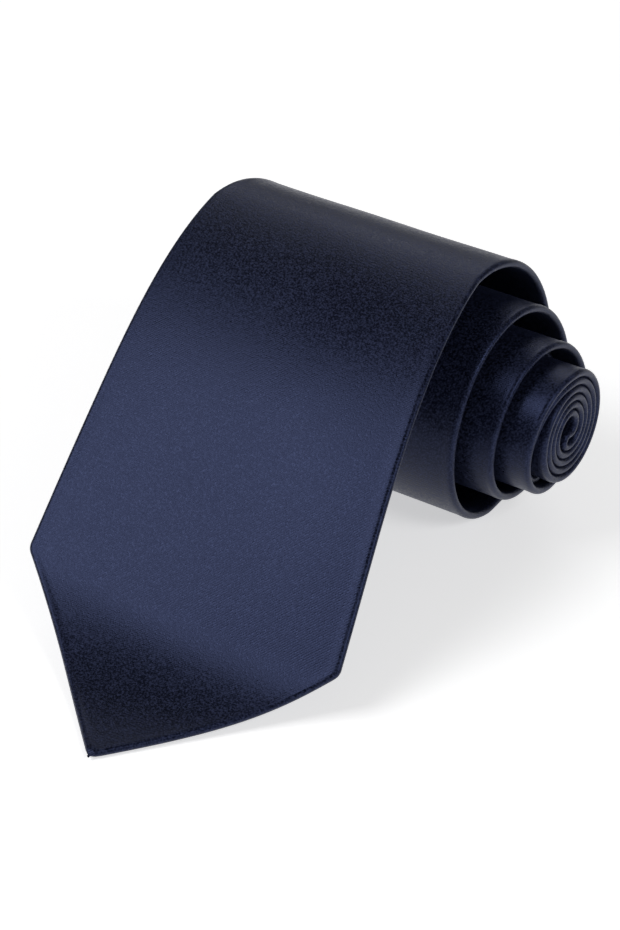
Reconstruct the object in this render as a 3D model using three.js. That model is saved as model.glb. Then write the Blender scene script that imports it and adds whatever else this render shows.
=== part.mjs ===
// A man's satin necktie, folded in half at the neck and rolled up from the fold, lying on a table.
// The roll's axis is X. The wide blade comes over the top of the roll and slopes down to -Y, where its
// point lies on the table. The tail is the inner layer of every turn and ends on the front of the roll.
// Each piece is laid out flat, as a tailor cuts it, and then wound along the path of the roll:
// s runs along the tie from the blade's point, u across it, and n out through its satin face.
import * as THREE from "three";

// ---------------------------------------------------------------- driving dimensions, mm and degrees
// Cloth
const SATIN = 0.35; // envelope fabric
const INTERLINING = 0.7; // wool core
const TIPPING = 0.25; // lining behind each point
const PLY_GAP = 0.05; // air between plies
const THREAD = 0.3; // sewing thread, square in section
const SEAM_SLIT = 0.6; // between the two back flaps
const PANEL_GAP = 0.6; // between panels that a seam or a bend line joins

// Outline of the flat tie
const BLADE_WIDTH = 90;
const BLADE_POINT = 47; // depth of the point behind its corners
const BLADE_TAPER = 0.045; // half-width lost for each mm of length
const NECK_WIDTH = 34;
const TAIL_WIDTH = 39;
const TAIL_POINT = 20;
const TAIL_TAPER = 0.012;
const POINT_BLUNT = 1.2; // how far the very tip is rounded off
const HEM = 8; // satin turned in round each point
const BLADE_OPENING = 98; // where the back flaps meet, from the point
const TAIL_OPENING = 46;
const BLADE_PANEL = 640; // length of the front panel
const TAIL_PANEL = 420;
const INTERLINING_JOIN = 690;

// Roll
const TURN_GAP = 0.3; // between one layer and the next
const FOLD_RADIUS = 4.9; // centre of the roll to the blade layer where the fold begins
const TURNS = 5.5; // from the top of the outermost turn in to the fold
const FOLD_LOOP = 3.4; // width of the loop at the fold
// Extra radius at each quarter turn from the outermost turn inwards, over a tight winding.
const SLACK = [3.6, 2, 4.4, 1.2, 4.1, 1.1, 0.1, 0, 0.7, 0.2, 0.05, 0, 0];
const TOP_LIFT = 7.2; // how high the stiff blade stands off the top of the roll
const LIFT_FROM = -15; // angle on the roll where it stands highest
const RIGHT_EDGE = 38; // of the outermost turn, from the roll's zero in X
const TELESCOPE = 8.2; // how far each turn stands out past the turn round it
const TELESCOPED_TURNS = 3;
const TAIL_RECESS = 20; // of the tail's right edge behind the blade's, in the outermost turn
const FACET = 18; // degrees

// Free end of the blade
const LEAVES_AT = -9; // angle on the roll where the free end begins
const CURVE_LENGTH = 81;
const SLOPE = 40.2; // of its straight part, below the horizontal
const LANDING = 45; // length over which the point eases down flat on the table
const LANDING_EASE = 1.5; // 1 is an even curve; more is a sharper start
const SKEW = 0.117; // sideways drift of the free end for each mm
const BEND_LINE = 16.61; // of the lifting blade, past the place where the back flaps meet
const TAIL_ENDS_AT = -80; // angle on the roll of the tail's own free end
const TAIL_DROP = 24; // length that hangs straight down past it

// Trim on the back
const KEEPER = { from: 2, wide: 11, span: 50, thick: 0.5, sag: 3, sewn: 5 };
const LABEL = { after: 8, long: 22, wide: 46, thick: 0.3 };
const CARE_LABEL = { from: 130, long: 18, wide: 14, thick: 0.2 };
const BAR_TACK = { wide: 5, long: 1.4, thick: 0.4 };
const SPARE_LOOP = { long: 9, wide: 3.2, lift: 0.4 };
const LIFT_OFF = 0.1; // air between trim and the cloth that it is sewn to

// ---------------------------------------------------------------- derived sizes
const THICK = 2 * SATIN + INTERLINING + TIPPING + 3 * PLY_GAP;
const BACK = -THICK / 2;
const LAYER_PITCH = THICK + TURN_GAP;
const PAIR_PITCH = 2 * LAYER_PITCH;
const toRadians = THREE.MathUtils.degToRad;
const smooth = (x, low, high) => THREE.MathUtils.smoothstep(x, low, high);

// Radius of the blade layer at an angle from the top, growing as it winds inwards.
function slackAt(turns) {
  const q = THREE.MathUtils.clamp(turns * 4, 0, SLACK.length - 1.001);
  const k = Math.floor(q);
  return THREE.MathUtils.lerp(SLACK[k], SLACK[k + 1], smooth(q - k, 0, 1));
}
function bladeRadius(angle) {
  const turns = angle / 360;
  const lean = ((angle - LIFT_FROM) / (90 - LIFT_FROM)) * 90;
  const lift = angle < 90 ? TOP_LIFT * Math.cos(toRadians(lean)) ** 2 : 0;
  return FOLD_RADIUS + PAIR_PITCH * (TURNS - turns) + slackAt(turns) + lift;
}
// The tail lies against the blade layer in the inner turns, and on the turn below in the outermost.
function tailRadius(angle) {
  const turns = angle / 360;
  const onTurnBelow = bladeRadius(angle + 360) + LAYER_PITCH;
  if (turns < 1) return onTurnBelow;
  const foldRoom = (FOLD_LOOP - LAYER_PITCH) * smooth(turns, TURNS - 0.5, TURNS);
  const underBlade = bladeRadius(angle) - LAYER_PITCH - foldRoom;
  return THREE.MathUtils.lerp(onTurnBelow, underBlade, smooth(turns, 1, 1.9));
}
const CENTRE_HEIGHT = (bladeRadius(180 - FACET / 2) * Math.cos(toRadians(FACET / 2))) + THICK / 2;
const onRoll = (radius, angle) =>
  new THREE.Vector2(radius * Math.sin(toRadians(angle)), CENTRE_HEIGHT + radius * Math.cos(toRadians(angle)));

// ---------------------------------------------------------------- the path, in the YZ plane
// Walks down a slope that changes with length, and returns the points at the lengths asked for.
function walk(start, slopeAt, lengths) {
  const at = start.clone();
  const points = [];
  let done = 0;
  for (const length of lengths) {
    const steps = 60;
    const step = (length - done) / steps;
    for (let i = 0; i < steps; i++) {
      const slope = slopeAt(done + (i + 0.5) * step);
      at.add(new THREE.Vector2(-Math.cos(slope) * step, -Math.sin(slope) * step));
    }
    done = length;
    points.push(at.clone());
  }
  return points;
}

// The free end of the blade, from the roll to its point: curve, straight, then flat on the table.
function freeEnd() {
  const start = onRoll(bladeRadius(LEAVES_AT), LEAVES_AT);
  const ahead = onRoll(bladeRadius(LEAVES_AT + 1), LEAVES_AT + 1);
  const first = Math.atan2(ahead.y - start.y, ahead.x - start.x);
  const steepest = toRadians(SLOPE);
  const curve = (l) => steepest + (first - steepest) * (1 - Math.min(l / CURVE_LENGTH, 1)) ** 2;
  const curveEnd = walk(start, curve, [CURVE_LENGTH])[0];
  const landing = (l) => steepest * Math.max(1 - l / LANDING, 0) ** LANDING_EASE;
  const landingDrop = -walk(new THREE.Vector2(), landing, [LANDING])[0].y;
  const straight = (curveEnd.y - landingDrop - THICK / 2) / Math.sin(steepest);
  const touch = CURVE_LENGTH + straight;
  const slope = (l) => (l < touch ? curve(l) : landing(l - touch));
  const length = touch + BLADE_POINT;
  const bend = length - BLADE_OPENING - BEND_LINE;
  const clearOfBend = (l) => Math.abs(l - bend) > 4;
  const facets = [0.17, 0.34, 0.5, 0.67, 0.83, 1].map((share) => share * CURVE_LENGTH).filter(clearOfBend);
  facets.push(bend - PANEL_GAP / 2, bend + PANEL_GAP / 2, touch);
  for (const share of [0.2, 0.45, 0.7, 1]) facets.push(touch + share * LANDING);
  facets.push(length - POINT_BLUNT, length);
  facets.sort((a, b) => a - b);
  return { length, bend, facets, points: walk(start, slope, facets) };
}

const free = freeEnd();
const stations = []; // one for each facet edge: s, where it is, and how the centre line drifts
function addStation(point, place) {
  const last = stations.at(-1);
  const s = last ? last.s + point.distanceTo(last.point) : 0;
  stations.push({ s, point, ...place });
}
[...free.points].reverse().forEach((point, i, all) => {
  addStation(point, { angle: LEAVES_AT, past: free.facets[all.length - 1 - i], part: "blade" });
});
const foldAngle = Math.round((TURNS * 360 - LEAVES_AT) / FACET) * FACET + LEAVES_AT;
for (let angle = LEAVES_AT; angle <= foldAngle; angle += FACET) {
  const point = onRoll(bladeRadius(angle), angle);
  if (Math.abs(angle - 180) < FACET) point.y = THICK / 2; // the roll's own weight flattens it here
  addStation(point, { angle, past: 0, part: "blade" });
}
const foldMiddle = onRoll((bladeRadius(foldAngle) + tailRadius(foldAngle)) / 2, foldAngle);
const foldHalf = (bladeRadius(foldAngle) - tailRadius(foldAngle)) / 2;
for (const turned of [36, 72, 108, 144]) {
  const angle = foldAngle + turned;
  const reach = new THREE.Vector2(Math.sin(toRadians(angle)), Math.cos(toRadians(angle)));
  addStation(foldMiddle.clone().addScaledVector(reach, foldHalf), { angle: foldAngle, past: 0, part: "fold" });
}
const tailEnd = Math.round((TAIL_ENDS_AT - LEAVES_AT) / FACET) * FACET + LEAVES_AT;
for (let angle = foldAngle; angle >= tailEnd; angle -= FACET) {
  const tight = angle > foldAngle - 360 && ((foldAngle - angle) / FACET) % 2;
  if (!tight) addStation(onRoll(tailRadius(angle), angle), { angle, past: 0, part: "tail" });
}
const hang = stations.at(-1);
for (const share of [0.4, TAIL_DROP / (TAIL_DROP + 1), 1]) {
  const down = new THREE.Vector2(hang.point.x, hang.point.y - TAIL_DROP * share);
  addStation(down, { angle: tailEnd, past: 0, part: "tail" });
}
const LENGTH = stations.at(-1).s;
const S_LEAVE = stations.find((at) => at.past === 0).s;
const S_BEND = S_LEAVE - free.bend;

// Half the width of the flat tie: two tapers that run down to the neck, and a blunt point at each end.
function halfWidth(s) {
  const t = LENGTH - s;
  const side = (width, d, point) => (width / 2) * ((d + POINT_BLUNT) / (point + POINT_BLUNT));
  if (s < BLADE_POINT) return side(BLADE_WIDTH, s, BLADE_POINT);
  if (t < TAIL_POINT) return side(TAIL_WIDTH, t, TAIL_POINT);
  const blade = BLADE_WIDTH / 2 - (s - BLADE_POINT) * BLADE_TAPER;
  const tail = TAIL_WIDTH / 2 - (t - TAIL_POINT) * TAIL_TAPER;
  return Math.max(blade, tail, NECK_WIDTH / 2);
}

// The right edge drifts outwards as the tie winds inwards, so the inner turns stand out.
function rightEdge(at) {
  const turns = Math.max(at.angle / 360, 0);
  const recess = at.part === "tail" ? TAIL_RECESS * (1 - smooth(turns, 1, 3)) : 0;
  return RIGHT_EDGE + TELESCOPE * Math.min(turns, TELESCOPED_TURNS) - recess;
}
stations.forEach((at, i) => {
  const body = THREE.MathUtils.clamp(at.s, S_LEAVE, LENGTH - TAIL_POINT);
  at.centre = rightEdge(at) - halfWidth(body) + SKEW * at.past;
  const before = stations[Math.max(i - 1, 0)].point;
  const after = stations[Math.min(i + 1, stations.length - 1)].point;
  const inwards = at.point.clone().sub(before).normalize();
  const onwards = after.clone().sub(at.point).normalize();
  const along = (i === 0 ? onwards : i === stations.length - 1 ? inwards : inwards.add(onwards)).normalize();
  const mitre = i === 0 ? 1 : 1 / Math.max(along.dot(at.point.clone().sub(before).normalize()), 0.75);
  at.normal = new THREE.Vector2(-along.y, along.x).multiplyScalar(mitre);
});

// From the flat tie to the rolled one. Between two stations everything runs straight.
function place(s, u, n) {
  let k = stations.findIndex((at) => at.s > s) - 1;
  if (k < 0) k = s <= 0 ? 0 : stations.length - 2;
  const a = stations[k];
  const b = stations[k + 1];
  const share = (s - a.s) / (b.s - a.s);
  const lerp = (p, q) => p + (q - p) * share;
  return new THREE.Vector3(
    lerp(a.centre, b.centre) + u,
    lerp(a.point.x + n * a.normal.x, b.point.x + n * b.normal.x),
    lerp(a.point.y + n * a.normal.y, b.point.y + n * b.normal.y),
  );
}

// ---------------------------------------------------------------- solids
// Skins a row of sections that all have the same number of points, and caps both ends.
function loft(sections) {
  const count = sections[0].length;
  const positions = sections.flat().flatMap((p) => [p.at.x, p.at.y, p.at.z]);
  const caps = THREE.ShapeUtils.triangulateShape(sections[0].map((p) => new THREE.Vector2(p.u, p.n)), []);
  const index = [];
  for (let k = 0; k + 1 < sections.length; k++) {
    for (let i = 0; i < count; i++) {
      const a = k * count + i;
      const b = k * count + ((i + 1) % count);
      index.push(a, a + count, b, b, a + count, b + count);
    }
  }
  const last = (sections.length - 1) * count;
  for (const [a, b, c] of caps) index.push(a, b, c, last + a, last + c, last + b);
  const geometry = new THREE.BufferGeometry();
  geometry.setAttribute("position", new THREE.Float32BufferAttribute(positions, 3));
  geometry.setIndex(index);
  return geometry;
}

// A strip of the tie from s0 to s1. section(s) lists [u, n] corners, the same number at every s.
function strip(s0, s1, section, extra = []) {
  const inside = [...stations.map((at) => at.s), ...extra].filter((s) => s > s0 + 0.05 && s < s1 - 0.05);
  const along = [s0, ...inside.sort((a, b) => a - b), s1];
  const spaced = along.filter((s, i) => i === 0 || i === along.length - 1 || s - along[i - 1] > 0.02);
  return loft(spaced.map((s) => section(s).map(([u, n]) => ({ u, n, at: place(s, u, n) }))));
}
const slab = (low, high, from, to) => [[low, from], [high, from], [high, to], [low, to]];

// How far the back flaps stay apart on each side of the middle, at s.
function flapEdge(s) {
  const slit = SEAM_SLIT / 2;
  const half = halfWidth(s);
  const openEdge = (d, point, opening) => {
    if (d > opening) return slit;
    const hemAcross = HEM * Math.SQRT2;
    if (d < point) return Math.max(slit, half - hemAcross);
    const atCorner = halfWidth(point) - hemAcross;
    return Math.max(slit, atCorner * (1 - (d - point) / (opening - point)));
  };
  const t = LENGTH - s;
  const edge = s < LENGTH / 2 ? openEdge(s, BLADE_POINT, BLADE_OPENING) : openEdge(t, TAIL_POINT, TAIL_OPENING);
  return Math.min(edge, half - 2 * SATIN);
}
// The envelope is a C in section: satin face, two folds, and two flaps that meet behind.
function envelopeSection(s) {
  const half = halfWidth(s);
  const edge = flapEdge(s);
  const inner = half - SATIN;
  return [
    [edge, BACK], [half, BACK], [half, -BACK], [-half, -BACK], [-half, BACK], [-edge, BACK],
    [-edge, BACK + SATIN], [-inner, BACK + SATIN], [-inner, -BACK - SATIN],
    [inner, -BACK - SATIN], [inner, BACK + SATIN], [edge, BACK + SATIN],
  ];
}
const PLY_MARGIN = SATIN + 0.15;
const coreTop = -BACK - SATIN - PLY_GAP;
const coreBack = coreTop - INTERLINING;
const liningTop = coreBack - PLY_GAP;
function plySection(top, bottom) {
  return (s) => slab(-halfWidth(s) + PLY_MARGIN, halfWidth(s) - PLY_MARGIN, bottom, top);
}
const threadMiddle = BACK + SATIN / 2;
const threadSection = () =>
  slab(-THREAD / 2, THREAD / 2, threadMiddle - THREAD / 2, threadMiddle + THREAD / 2);

// ---------------------------------------------------------------- materials
const cloth = (color, roughness) => new THREE.MeshStandardMaterial({ color, roughness, metalness: 0 });
const satin = cloth(0x232a52, 0.42);
const lining = cloth(0x1d2344, 0.35);
const wool = cloth(0xd9d4c6, 0.95);
const labelCloth = cloth(0x14182e, 0.5);
const careCloth = cloth(0xe9e9ee, 0.6);
const navyThread = cloth(0x1b2148, 0.6);

const tie = new THREE.Group();
function add(name, geometry, material) {
  const mesh = new THREE.Mesh(geometry, material);
  mesh.name = name;
  tie.add(mesh);
}

// ---------------------------------------------------------------- envelope and its seams
const cut = PANEL_GAP / 2;
const neckStart = BLADE_PANEL;
const neckEnd = LENGTH - TAIL_PANEL;
const corners = [BLADE_POINT, BLADE_OPENING, LENGTH - TAIL_POINT, LENGTH - TAIL_OPENING];
const hemMeets = (point, width) => (HEM * Math.SQRT2 * (point + POINT_BLUNT)) / (width / 2) - POINT_BLUNT;
corners.push(hemMeets(BLADE_POINT, BLADE_WIDTH), LENGTH - hemMeets(TAIL_POINT, TAIL_WIDTH));
const start = stations[1].s;
const finish = stations.at(-2).s;
add("blade_envelope", strip(start, S_BEND - cut, envelopeSection, corners), satin);
add("blade_envelope_rolled", strip(S_BEND + cut, neckStart - cut, envelopeSection, corners), satin);
add("neck_envelope", strip(neckStart + cut, neckEnd - cut, envelopeSection), satin);
add("tail_envelope", strip(neckEnd + cut, finish, envelopeSection, corners), satin);

// The thread of a seam that runs across the tie, in the gap between two panels.
function crossSeam(s, top) {
  const half = halfWidth(s) - PLY_MARGIN;
  return strip(s - THREAD / 2, s + THREAD / 2, () => slab(-half, half, top - THREAD, top));
}
add("blade_to_neck_seam", crossSeam(neckStart, -BACK), navyThread);
add("neck_to_tail_seam", crossSeam(neckEnd, -BACK), navyThread);

// ---------------------------------------------------------------- interlining and tipping
const PLY_START = 4; // the plies stop short of each tip
const coreSection = plySection(coreTop, coreBack);
add("blade_interlining", strip(PLY_START, S_BEND - cut, coreSection, corners), wool);
add("blade_interlining_rolled", strip(S_BEND + cut, INTERLINING_JOIN - cut, coreSection, corners), wool);
add("tail_interlining", strip(INTERLINING_JOIN + cut, LENGTH - PLY_START, coreSection, corners), wool);
add("interlining_join_stitch", crossSeam(INTERLINING_JOIN, coreTop - PLY_GAP), navyThread);

const TUCK = 12; // of the tipping, in under the meeting flaps
const liningSection = plySection(liningTop, liningTop - TIPPING);
add("blade_tipping", strip(PLY_START, BLADE_OPENING + TUCK, liningSection, corners), lining);
add("tail_tipping", strip(LENGTH - TAIL_OPENING - TUCK, LENGTH - PLY_START, liningSection, corners), lining);

// The stitching that joins the tipping to the hem, one leg on each side of the point.
function hemStitch(side, from, to) {
  const clear = 0.2;
  const section = (s) => {
    const outer = flapEdge(s) - clear;
    const u = [outer - THREAD, outer].map((v) => v * side).sort((a, b) => a - b);
    return slab(u[0], u[1], BACK + PLY_GAP, BACK + PLY_GAP + THREAD);
  };
  return strip(from, to, section, corners);
}
const hemRoom = 1.5; // the two legs end this far from where the hems meet
const bladeHem = [hemMeets(BLADE_POINT, BLADE_WIDTH) + hemRoom, BLADE_POINT];
const tailHem = [LENGTH - TAIL_POINT, LENGTH - hemMeets(TAIL_POINT, TAIL_WIDTH) - hemRoom];
for (const [side, word] of [[-1, "left"], [1, "right"]]) {
  add(`blade_tipping_stitch_${word}`, hemStitch(side, ...bladeHem), navyThread);
  add(`tail_tipping_stitch_${word}`, hemStitch(side, ...tailHem), navyThread);
}

// ---------------------------------------------------------------- slip stitch and bar tacks
const threadEnds = 1;
add("slip_stitch_thread", strip(BLADE_OPENING + threadEnds, S_BEND - cut, threadSection), navyThread);
add("slip_stitch_thread_rolled",
  strip(S_BEND + cut, LENGTH - TAIL_OPENING - threadEnds, threadSection), navyThread);

// A flat piece of trim that lies behind the tie, from s0 to s1.
function onBack(s0, s1, wide, thick, middle = 0, lift = LIFT_OFF) {
  const from = BACK - lift;
  return strip(s0, s1, () => slab(middle - wide / 2, middle + wide / 2, from - thick, from));
}
const tackAt = (s) => onBack(s, s + BAR_TACK.long, BAR_TACK.wide, BAR_TACK.thick);
add("blade_bar_tack", tackAt(BLADE_OPENING + threadEnds), navyThread);
add("tail_bar_tack", tackAt(LENGTH - TAIL_OPENING - threadEnds - BAR_TACK.long), navyThread);

// The spare loop of slip-stitch thread at each end, which lets the tie stretch.
function spareLoop(from, towards) {
  const { long, wide } = SPARE_LOOP;
  const outline = new THREE.Shape().absellipse(0, 0, wide / 2, long / 2, 0, 2 * Math.PI);
  const inside = new THREE.Path().absellipse(0, 0, wide / 2 - THREAD, long / 2 - THREAD, 0, 2 * Math.PI);
  outline.holes.push(inside);
  const geometry = new THREE.ExtrudeGeometry(outline, { depth: THREAD, bevelEnabled: false, curveSegments: 8 });
  const middle = from + towards * (long / 2);
  const at = geometry.getAttribute("position");
  for (let i = 0; i < at.count; i++) {
    const p = place(middle + at.getY(i), at.getX(i), BACK - SPARE_LOOP.lift - THREAD + at.getZ(i));
    at.setXYZ(i, p.x, p.y, p.z);
  }
  return geometry;
}
add("blade_spare_thread_loop", spareLoop(BLADE_OPENING + threadEnds - LIFT_OFF, -1), navyThread);
add("tail_spare_thread_loop", spareLoop(LENGTH - TAIL_OPENING - threadEnds + LIFT_OFF, 1), navyThread);

// ---------------------------------------------------------------- keeper loop and labels
// The keeper is a band sewn down at both ends, which sags between them to let the tail through.
const keeperFrom = S_LEAVE - KEEPER.from - KEEPER.wide;
function keeperLoop() {
  const half = KEEPER.span / 2;
  const hangs = half - KEEPER.sewn;
  const across = [-half, -hangs];
  for (let share = -0.8; share < 0.81; share += 0.2) across.push(share * hangs);
  across.push(hangs, half);
  const sections = across.map((u) => {
    const sag = Math.abs(u) < hangs ? KEEPER.sag * Math.cos((u / hangs) * (Math.PI / 2)) ** 0.6 : 0;
    const n = BACK - LIFT_OFF - sag;
    const ends = slab(keeperFrom, keeperFrom + KEEPER.wide, n - KEEPER.thick, n);
    return ends.map(([s, at]) => ({ u: -s, n: at, at: place(s, u, at) })).reverse();
  });
  return loft(sections);
}
add("keeper_loop", keeperLoop(), satin);

// Stitches through the sewn ends of a band or label.
function endStitch(s0, s1, u, below) {
  const from = BACK - LIFT_OFF - below - LIFT_OFF;
  const half = THREAD / 2;
  return strip(s0, s1, () => slab(u - half, u + half, from - THREAD, from));
}
const STITCH_INSET = 1.5; // from the edge of what is sewn
const keeperStitch = KEEPER.span / 2 - STITCH_INSET;
const labelFrom = S_LEAVE + LABEL.after;
const labelStitch = LABEL.wide / 2 - STITCH_INSET;
for (const [side, word] of [[-1, "left"], [1, "right"]]) {
  const keeperEnd = keeperFrom + KEEPER.wide - STITCH_INSET;
  add(`keeper_stitch_${word}`,
    endStitch(keeperFrom + STITCH_INSET, keeperEnd, side * keeperStitch, KEEPER.thick), navyThread);
  add(`label_stitch_${word}`,
    endStitch(labelFrom + STITCH_INSET, labelFrom + LABEL.long - STITCH_INSET, side * labelStitch, LABEL.thick),
    navyThread);
}
add("maker_label", onBack(labelFrom, labelFrom + LABEL.long, LABEL.wide, LABEL.thick), labelCloth);
const careEnd = LENGTH - CARE_LABEL.from;
add("care_label", onBack(careEnd - CARE_LABEL.long, careEnd, CARE_LABEL.wide, CARE_LABEL.thick), careCloth);

// The origin is on the table, under the middle of the whole.
const bounds = new THREE.Box3().setFromObject(tie);
const middle = bounds.getCenter(new THREE.Vector3());
for (const mesh of tie.children) mesh.geometry.translate(-middle.x, -middle.y, -bounds.min.z);

export default tie;
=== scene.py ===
"""A navy satin necktie, folded at its middle and rolled up, with its blade drawn off the roll onto the table.

Every piece is worked out flat and then wound along the path of the roll. A place on the tie is (s, u, n), in
millimetres: s runs along it from the blade's point, u across it, and n out through its satin face.
"""

import math

import bpy
import numpy as np
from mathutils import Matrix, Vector


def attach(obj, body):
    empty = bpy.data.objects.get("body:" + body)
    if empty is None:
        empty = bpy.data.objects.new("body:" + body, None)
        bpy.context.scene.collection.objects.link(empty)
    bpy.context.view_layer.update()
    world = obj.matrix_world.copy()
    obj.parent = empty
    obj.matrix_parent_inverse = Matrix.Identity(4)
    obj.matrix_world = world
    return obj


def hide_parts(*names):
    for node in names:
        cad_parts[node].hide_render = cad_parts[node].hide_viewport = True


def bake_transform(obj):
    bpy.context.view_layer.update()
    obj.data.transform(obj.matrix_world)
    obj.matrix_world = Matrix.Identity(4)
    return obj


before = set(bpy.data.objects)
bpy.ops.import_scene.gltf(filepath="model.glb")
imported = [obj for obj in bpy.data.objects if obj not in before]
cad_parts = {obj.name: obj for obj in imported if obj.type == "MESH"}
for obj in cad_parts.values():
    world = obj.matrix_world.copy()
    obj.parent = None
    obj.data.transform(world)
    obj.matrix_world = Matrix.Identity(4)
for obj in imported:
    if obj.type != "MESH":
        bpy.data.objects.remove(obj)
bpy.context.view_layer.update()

# ---------------------------------------------------------------- sizes, mm and degrees
SATIN, WOOL, TIPPING, PLY_GAP = 0.35, 0.7, 0.25, 0.05  # thickness of each ply, and the space between two
THREAD = 0.3
SEAM_SLIT = 0.5  # between the two back flaps where they meet
THICK = 2 * SATIN + WOOL + TIPPING + 3 * PLY_GAP
HALF_THICK = THICK / 2
BACK = -HALF_THICK
BLADE_WIDTH, BLADE_POINT, BLADE_TAPER = 90, 47, 0.045
NECK_WIDTH = 34
TAIL_WIDTH, TAIL_POINT, TAIL_TAPER = 39, 20, 0.012
POINT_BLUNT = 1.2  # how far the two sides of a point would run on past it
POINT_ROUNDING = 2.4
HEM, BLADE_OPENING, TAIL_OPENING = 8, 98, 46
BLADE_PANEL, TAIL_PANEL, WOOL_JOIN = 640, 420, 690
TURN_GAP, FOLD_RADIUS, TURNS, FOLD_LOOP = 0.3, 4.9, 5.5, 3.4
SLACK = np.array([3.6, 2, 4.4, 1.2, 4.1, 1.1, 0.1, 0, 0.7, 0.2, 0.05, 0, 0])  # at each quarter turn
TOP_LIFT, LIFT_FROM = 7.2, -15  # of the stiff blade over the top of the roll, and the angle of its highest
RIGHT_EDGE, TELESCOPE, TELESCOPED_TURNS = 38, 8.2, 3  # of the outer turn, and how far each turn in stands out
TAIL_RECESS = 20
LEAVES_AT, CURVE_LENGTH, SLOPE, LANDING, SKEW = -9, 81, 40.2, 45, 0.117  # of the free end
BEND_LINE = 16.61  # where the lifting blade bends, past the place where the back flaps meet
FOLD_AT, TAIL_ENDS_AT, TAIL_DROP = 1989, -81, 24  # angles on the roll, and how far the tail hangs on
TWIST = 0.096  # of the free end, in radians at its point
SWELL, RIPPLE = 0.35, 0.10  # heights of the cloth's slow and quick waves
OUTER_CLOTH, TIGHT_SHARE = 120, 0.4  # the ripple's full height reaches this far into the roll, then a share
REST, REST_FADE = 0.25, 2  # below REST the cloth is pressed up by the table, and never reaches it
ORIGIN = (10.183, -55.185)  # of the frame, from the roll's axis, in X and Y
LAYER = THICK + TURN_GAP
LOWEST_AT, RESTS_WITHIN = 171, 40  # where the roll is lowest, and how far each side it can meet the table
TURN_STEP, FOLD_STEP, PATH_STEPS = 1.5, 12, 640  # how finely the path is worked out
LANDING_FADE = 1.5  # the power by which the slope fades as the point lies down


# ---------------------------------------------------------------- the path of the roll
def smooth(x, low, high):
    """An S-shaped ramp from 0 at low to 1 at high."""
    t = np.clip((x - low) / (high - low), 0, 1)
    return t * t * (3 - 2 * t)


def blade_radius(angle):
    """A tight winding, two layers smaller each turn, plus slack, plus the stiff blade's lift over the top."""
    turns = angle / 360
    quarters = np.clip(turns * 4, 0, len(SLACK) - 1.001)
    k = np.floor(quarters).astype(int)
    slack = SLACK[k] + (SLACK[k + 1] - SLACK[k]) * smooth(quarters - k, 0, 1)
    lean = (angle - LIFT_FROM) / (90 - LIFT_FROM) * 90
    lift = np.where(angle < 90, TOP_LIFT * np.cos(np.radians(np.minimum(lean, 90))) ** 2, 0)
    return FOLD_RADIUS + 2 * LAYER * (TURNS - turns) + slack + lift


def tail_radius(angle):
    """On the turn below in the outermost turn, and against the inside of the blade layer further in."""
    turns = angle / 360
    on_turn_below = blade_radius(angle + 360) + LAYER
    fold_room = (FOLD_LOOP - LAYER) * smooth(turns, TURNS - 0.5, TURNS)
    under_blade = blade_radius(angle) - LAYER - fold_room
    return on_turn_below + (under_blade - on_turn_below) * smooth(turns, 1, 1.9)


LOWEST_RADIUS = float(blade_radius(np.array(float(LOWEST_AT))))
CENTRE_HEIGHT = LOWEST_RADIUS * math.cos(math.radians(180 - LOWEST_AT)) + HALF_THICK


def on_roll(radius, angle):
    """The point (y, z) at a radius and an angle from the top of the roll towards its back."""
    a = np.radians(angle)
    return np.stack([radius * np.sin(a), CENTRE_HEIGHT + radius * np.cos(a)], -1)


def free_end():
    """From the roll to the blade's point: its slope grows along a parabola, holds, then fades on the table.

    Returns the path's points (y, z), and how far along it each is from the roll."""
    start = on_roll(blade_radius(np.array(LEAVES_AT)), LEAVES_AT)
    ahead = on_roll(blade_radius(np.array(LEAVES_AT + 1.0)), LEAVES_AT + 1)
    first = math.atan2(ahead[1] - start[1], ahead[0] - start[0])
    steep = math.radians(SLOPE)

    def curve(along):
        return steep + (first - steep) * (1 - np.minimum(along / CURVE_LENGTH, 1)) ** 2

    step = 0.25
    along = np.arange(0, CURVE_LENGTH, step) + step / 2
    end_height = start[1] - float(np.sin(curve(along)).sum()) * step
    down = (np.arange(400) + 0.5) / 400
    landing_drop = LANDING * float(np.sin(steep * (1 - down) ** LANDING_FADE).mean())
    straight = (end_height - landing_drop - HALF_THICK) / math.sin(steep)
    touch = CURVE_LENGTH + straight
    length = touch + BLADE_POINT + POINT_BLUNT
    edges = np.linspace(0, length, PATH_STEPS)
    middle = (edges[1:] + edges[:-1]) / 2
    eased = steep * (1 - np.clip((middle - touch) / LANDING, 0, 1)) ** LANDING_FADE
    slope = np.where(middle < touch, curve(middle), eased)
    stride = np.diff(edges)
    y = start[0] - np.concatenate([[0], np.cumsum(np.cos(slope) * stride)])
    z = start[1] - np.concatenate([[0], np.cumsum(np.sin(slope) * stride)])
    return np.stack([y, z], -1), edges


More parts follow.
